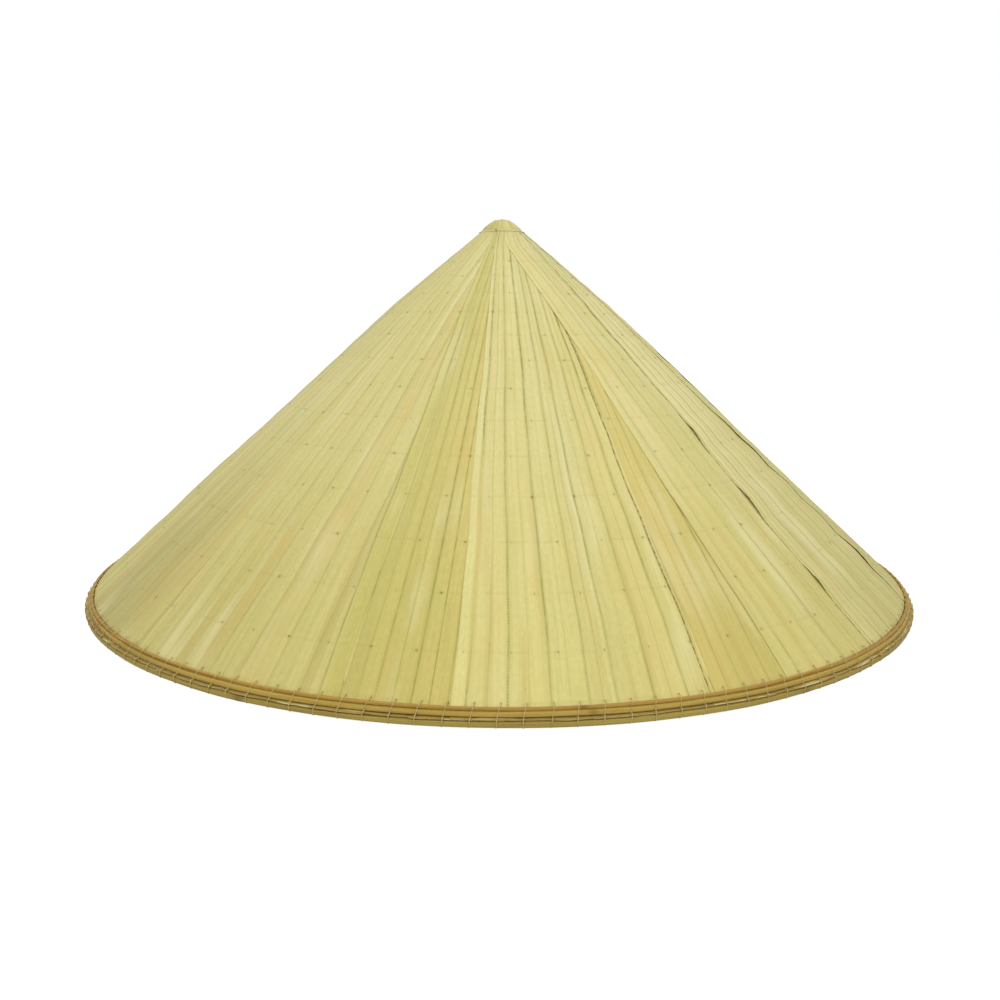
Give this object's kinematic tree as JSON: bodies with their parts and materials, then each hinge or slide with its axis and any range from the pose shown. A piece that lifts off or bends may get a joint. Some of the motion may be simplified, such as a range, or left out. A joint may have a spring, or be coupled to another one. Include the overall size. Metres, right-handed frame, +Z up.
{
  "type": "conical hat",
  "caption": "Wide conical sun hat of lapped palm leaves sewn over round bamboo hoops, with a bound bamboo strip rim and thread loops inside for a chin strap.",
  "frame": {"origin": "centre of the plane that the rim rests on, on the cone's axis", "axes": "+Z up to the tip; -Y towards the front, where the pale middle leaf is; +X to the wearer's left as seen from the front"},
  "size_m": [0.4208, 0.4208, 0.186],
  "materials": {
    "outer_leaf": "satin",
    "inner_leaf": "matte",
    "tip_leaf": "satin",
    "bamboo_hoop": "satin",
    "bamboo_rim_hoop": "satin",
    "bamboo_rim_yellow": "satin",
    "bamboo_rim_brown": "satin",
    "binding_thread": "satin",
    "sewing_thread": "satin",
    "loop_thread": "matte"
  },
  "bodies": {
    "root": {"outer_leaf_01": "outer_leaf", "outer_leaf_02": "outer_leaf", "outer_leaf_03": "outer_leaf", "outer_leaf_04": "outer_leaf", "outer_leaf_05": "outer_leaf", "outer_leaf_06": "outer_leaf", "outer_leaf_07": "outer_leaf", "outer_leaf_08": "outer_leaf", "outer_leaf_09": "outer_leaf", "outer_leaf_10": "outer_leaf", "outer_leaf_11": "outer_leaf", "outer_leaf_12": "outer_leaf", "outer_leaf_13": "outer_leaf", "outer_leaf_14": "outer_leaf", "outer_leaf_15": "outer_leaf", "outer_leaf_16": "outer_leaf", "outer_leaf_17": "outer_leaf", "outer_leaf_18": "outer_leaf", "inner_leaf_01": "inner_leaf", "inner_leaf_02": "inner_leaf", "inner_leaf_03": "inner_leaf", "inner_leaf_04": "inner_leaf", "inner_leaf_05": "inner_leaf", "inner_leaf_06": "inner_leaf", "inner_leaf_07": "inner_leaf", "inner_leaf_08": "inner_leaf", "inner_leaf_09": "inner_leaf", "inner_leaf_10": "inner_leaf", "inner_leaf_11": "inner_leaf", "inner_leaf_12": "inner_leaf", "inner_leaf_13": "inner_leaf", "inner_leaf_14": "inner_leaf", "hoop_01": "bamboo_hoop", "hoop_02": "bamboo_hoop", "hoop_03": "bamboo_hoop", "hoop_04": "bamboo_hoop", "hoop_05": "bamboo_hoop", "hoop_06": "bamboo_hoop", "hoop_07": "bamboo_hoop", "hoop_08": "bamboo_hoop", "hoop_09": "bamboo_hoop", "hoop_10": "bamboo_hoop", "hoop_11": "bamboo_hoop", "hoop_12": "bamboo_hoop", "hoop_13": "bamboo_hoop", "hoop_14": "bamboo_hoop", "hoop_15": "bamboo_hoop", "rim_hoop": "bamboo_rim_hoop", "rim_strip_middle": "bamboo_rim_yellow", "rim_strip_top": "bamboo_rim_brown", "rim_binding": "binding_thread", "hoop_joint_ties": "sewing_thread", "hoop_stitching": "sewing_thread", "tip_cap": "tip_leaf", "tip_tie": "binding_thread", "strap_loop_left": "loop_thread", "strap_loop_right": "loop_thread"}
  },
  "joints": []
}
